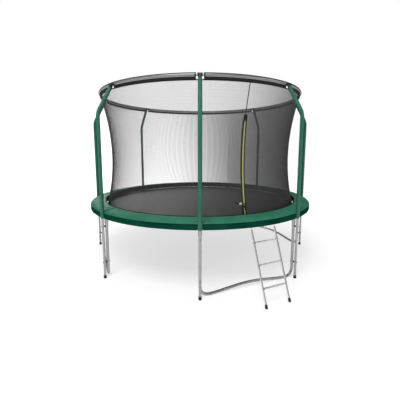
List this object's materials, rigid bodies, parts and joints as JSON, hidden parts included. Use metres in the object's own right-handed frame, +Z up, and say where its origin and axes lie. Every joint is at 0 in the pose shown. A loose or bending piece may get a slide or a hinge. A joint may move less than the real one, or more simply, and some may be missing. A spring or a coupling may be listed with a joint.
{
  "type": "backyard trampoline",
  "caption": "Round backyard trampoline with W-shaped tube legs, sprung mat, green padded edge, inner safety net on bent poles with a top hoop, zip door and hook-on ladder.",
  "frame": {"origin": "on the floor, under the middle of the whole footprint, ladder included; the mat's own middle is 95 mm behind it", "axes": "+Z up; -Y is the front, where the front pole and the ladder stand; +X to the right of someone facing the front"},
  "size_m": [3.76, 3.9448, 2.592],
  "materials": {
    "galvanised_tube": "galvanised, satin",
    "hoop_tube": "galvanised, satin",
    "ladder_tube": "galvanised, satin",
    "spring_wire": "zinc plated",
    "sleeve_vinyl": "vinyl over foam, soft gloss",
    "pad_vinyl": "vinyl over foam, soft gloss",
    "mat_cloth": "matt woven",
    "net_mesh": "matt knitted mesh",
    "black_plastic": "moulded, fine texture",
    "zip_plastic": "moulded",
    "black_rubber": "moulded"
  },
  "bodies": {
    "frame": {"net_pole_1": "galvanised_tube", "pole_sleeve_1": "sleeve_vinyl", "pole_cap_1": "black_plastic", "pole_shoe_1": "black_rubber", "net_pole_2": "galvanised_tube", "pole_sleeve_2": "sleeve_vinyl", "pole_cap_2": "black_plastic", "pole_shoe_2": "black_rubber", "net_pole_3": "galvanised_tube", "pole_sleeve_3": "sleeve_vinyl", "pole_cap_3": "black_plastic", "pole_shoe_3": "black_rubber", "net_pole_4": "galvanised_tube", "pole_sleeve_4": "sleeve_vinyl", "pole_cap_4": "black_plastic", "pole_shoe_4": "black_rubber", "net_pole_5": "galvanised_tube", "pole_sleeve_5": "sleeve_vinyl", "pole_cap_5": "black_plastic", "pole_shoe_5": "black_rubber", "net_pole_6": "galvanised_tube", "pole_sleeve_6": "sleeve_vinyl", "pole_cap_6": "black_plastic", "pole_shoe_6": "black_rubber", "net_pole_7": "galvanised_tube", "pole_sleeve_7": "sleeve_vinyl", "pole_cap_7": "black_plastic", "pole_shoe_7": "black_rubber", "net_pole_8": "galvanised_tube", "pole_sleeve_8": "sleeve_vinyl", "pole_cap_8": "black_plastic", "pole_shoe_8": "black_rubber", "frame_rail_1": "galvanised_tube", "frame_rail_2": "galvanised_tube", "frame_rail_3": "galvanised_tube", "frame_rail_4": "galvanised_tube", "frame_rail_5": "galvanised_tube", "frame_rail_6": "galvanised_tube", "frame_rail_7": "galvanised_tube", "frame_rail_8": "galvanised_tube", "w_leg_1": "galvanised_tube", "w_leg_2": "galvanised_tube", "w_leg_3": "galvanised_tube", "w_leg_4": "galvanised_tube", "hoop_tube_1": "hoop_tube", "hoop_tube_2": "hoop_tube", "springs": "spring_wire", "spring_pad": "pad_vinyl", "pad_skirt": "pad_vinyl", "safety_net": "net_mesh"},
    "mat": {"jumping_mat": "mat_cloth"},
    "ladder": {"ladder_rung_1": "ladder_tube", "ladder_rung_2": "ladder_tube", "ladder_rung_3": "ladder_tube", "ladder_rail_left": "ladder_tube", "ladder_foot_left": "black_rubber", "ladder_rail_right": "ladder_tube", "ladder_foot_right": "black_rubber"},
    "zip_slide": {"zip_slider": "zip_plastic"}
  },
  "joints": [
    {"name": "mat_bounce", "type": "slide", "parent": "frame", "child": "mat", "axis": [0, 0, 1], "range_m": [-0.2, 0], "stiffness_N_per_m": 6000, "springref_m": 0.02, "deforming": ["springs"]},
    {"name": "ladder_swing", "type": "hinge", "parent": "frame", "child": "ladder", "pos_m": [0.73743, -1.52323, 0.875], "axis": [-0.91, -0.4147, 0], "range_deg": [0, 60], "deforming": ["pad_skirt"]},
    {"name": "zip_run", "type": "hinge", "parent": "frame", "child": "zip_slide", "pos_m": [1.63151, -4.04691, 1.69625], "axis": [0.9304, 0.3665, 0], "range_deg": [0, 20]}
  ]
}
